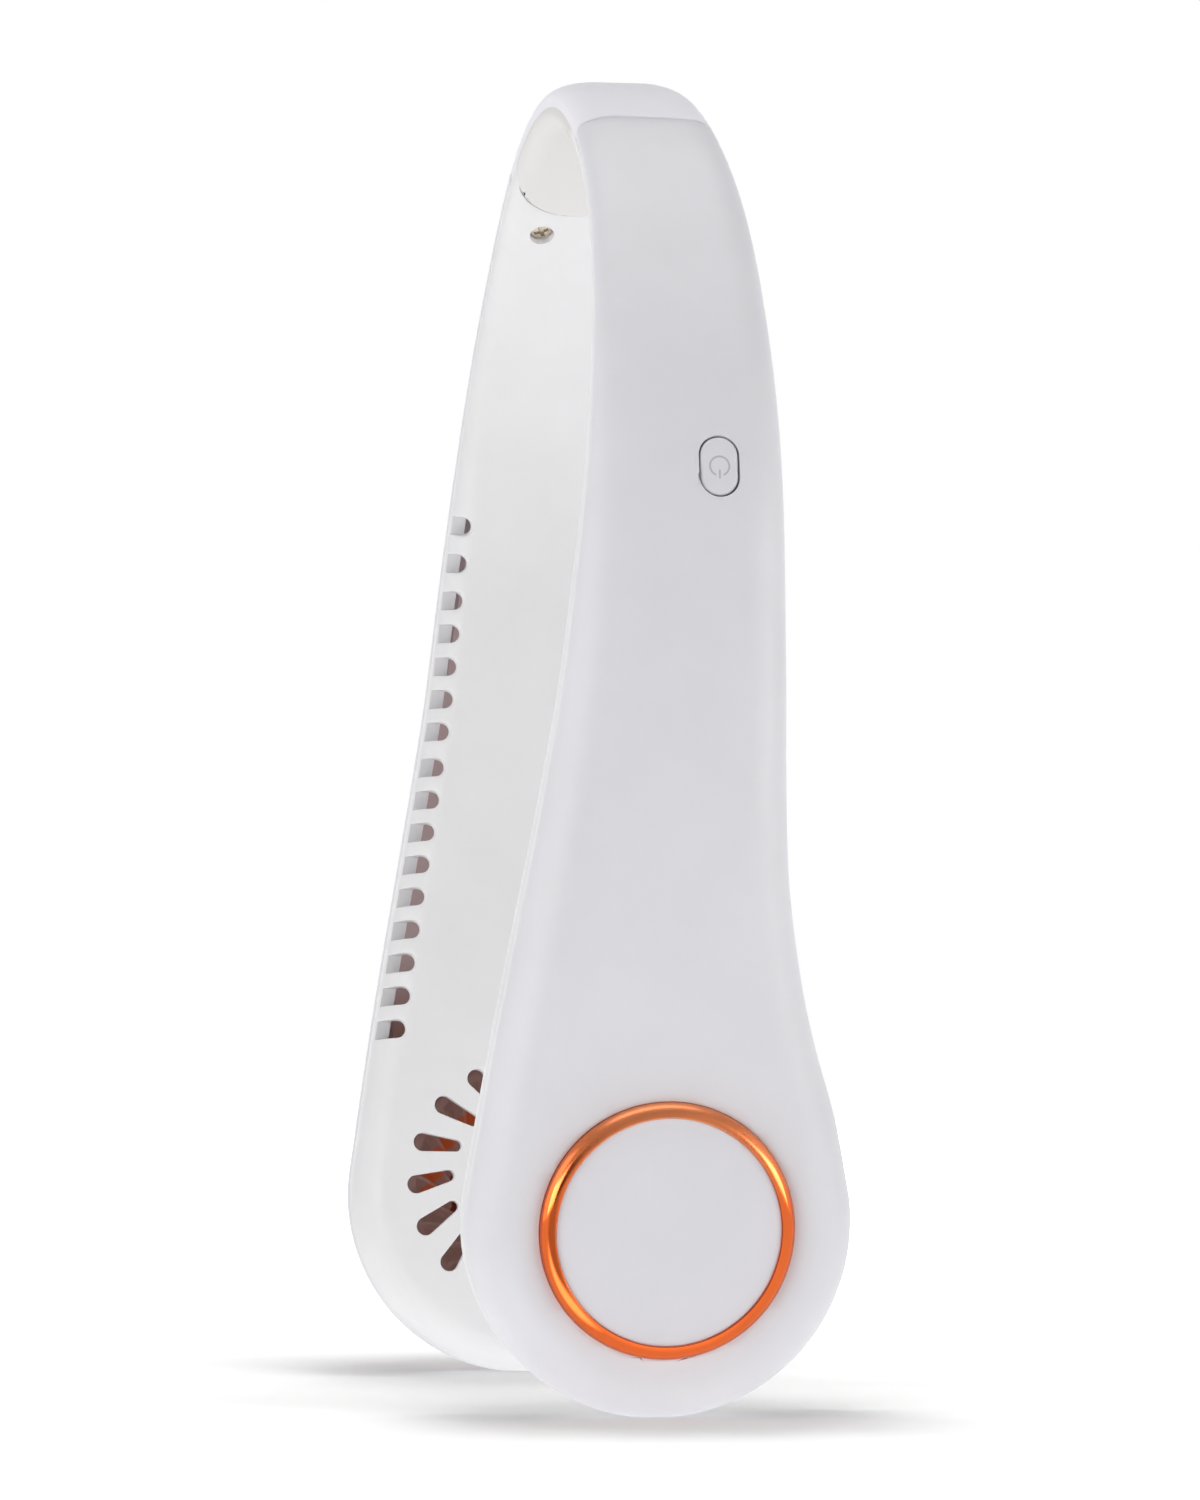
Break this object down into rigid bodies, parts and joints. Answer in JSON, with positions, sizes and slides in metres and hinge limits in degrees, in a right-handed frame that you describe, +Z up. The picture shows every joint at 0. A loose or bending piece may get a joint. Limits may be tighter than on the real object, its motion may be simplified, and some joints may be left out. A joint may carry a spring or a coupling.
{
  "type": "neck fan",
  "caption": "Wearable electric neck fan: two arms with centrifugal fans in their round ends, edge air outlets, intake grilles and a soft spring bridge at the nape.",
  "frame": {"origin": "on the plane the fan stands on, midway between the two arms and midway across their round ends", "axes": "+Z up from the round ends to the bridge, +Y from the arm with the button to the other arm, +X across the arms, away from the edge with the air outlets"},
  "size_m": [0.064, 0.16, 0.227],
  "materials": {
    "shell": "fine matt",
    "soft_sleeve": "smooth matt silicone",
    "soft_liner": "smooth matt silicone",
    "spring_steel": "cold rolled",
    "trim": "plated, mirror gloss",
    "disc": "fine matt",
    "duct": "moulded",
    "winding": "enamelled wire over laminations",
    "bearing": "sintered",
    "cell": "shrink wrap",
    "screw": "plated",
    "wire": "insulation",
    "board": "solder mask",
    "switch_body": "moulded",
    "led": "clear epoxy",
    "port": "stamped",
    "port_tongue": "moulded",
    "button": "fine matt",
    "plunger": "moulded",
    "impeller": "moulded",
    "rotor": "drawn",
    "magnet": "bonded magnet",
    "shaft": "ground"
  },
  "bodies": {
    "bridge": {"bridge_sleeve": "soft_sleeve", "bridge_liner": "soft_liner", "spring_band": "spring_steel", "bridge_wires": "wire"},
    "button_arm": {"button_arm_outer_shell": "shell", "button_arm_inner_shell": "shell", "button_arm_trim_ring": "trim", "button_arm_disc": "disc", "button_arm_air_duct": "duct", "button_arm_stator": "winding", "button_arm_bearing": "bearing", "button_arm_battery": "cell", "button_arm_screws": "screw", "button_arm_wires": "wire", "circuit_board": "board", "button_switch": "switch_body", "status_led": "led", "charge_port_shell": "port", "charge_port_tongue": "port_tongue"},
    "button_arm_fan": {"button_arm_impeller": "impeller", "button_arm_rotor": "rotor", "button_arm_magnet": "magnet", "button_arm_shaft": "shaft"},
    "power_button": {"power_button": "button", "switch_plunger": "plunger"},
    "plain_arm": {"plain_arm_outer_shell": "shell", "plain_arm_inner_shell": "shell", "plain_arm_trim_ring": "trim", "plain_arm_disc": "disc", "plain_arm_air_duct": "duct", "plain_arm_stator": "winding", "plain_arm_bearing": "bearing", "plain_arm_battery": "cell", "plain_arm_screws": "screw", "plain_arm_wires": "wire"},
    "plain_arm_fan": {"plain_arm_impeller": "impeller", "plain_arm_rotor": "rotor", "plain_arm_magnet": "magnet", "plain_arm_shaft": "shaft"}
  },
  "joints": [
    {"name": "button_arm_flex", "type": "hinge", "parent": "bridge", "child": "button_arm", "pos_m": [0.0037, -0.018, 0.22033], "axis": [-1, 0, 0], "range_deg": [-5, 20], "stiffness_Nm_per_rad": 1.2, "deforming": ["bridge_sleeve", "bridge_liner", "spring_band", "bridge_wires"]},
    {"name": "plain_arm_flex", "type": "hinge", "parent": "bridge", "child": "plain_arm", "pos_m": [0.0037, 0.018, 0.22033], "axis": [1, 0, 0], "range_deg": [-5, 20], "stiffness_Nm_per_rad": 1.2, "deforming": ["bridge_sleeve", "bridge_liner", "spring_band", "bridge_wires"]},
    {"name": "button_arm_fan_spin", "type": "hinge", "parent": "button_arm", "child": "button_arm_fan", "pos_m": [0.0002, -0.06398, 0.03338], "axis": [0, -0.9945, -0.1045], "continuous": true},
    {"name": "plain_arm_fan_spin", "type": "hinge", "parent": "plain_arm", "child": "plain_arm_fan", "pos_m": [0.0002, 0.06398, 0.03338], "axis": [0, 0.9945, -0.1045], "continuous": true},
    {"name": "button_press", "type": "slide", "parent": "button_arm", "child": "power_button", "axis": [0, 0.9885, -0.1515], "range_m": [0, 0.0006], "stiffness_N_per_m": 800}
  ]
}
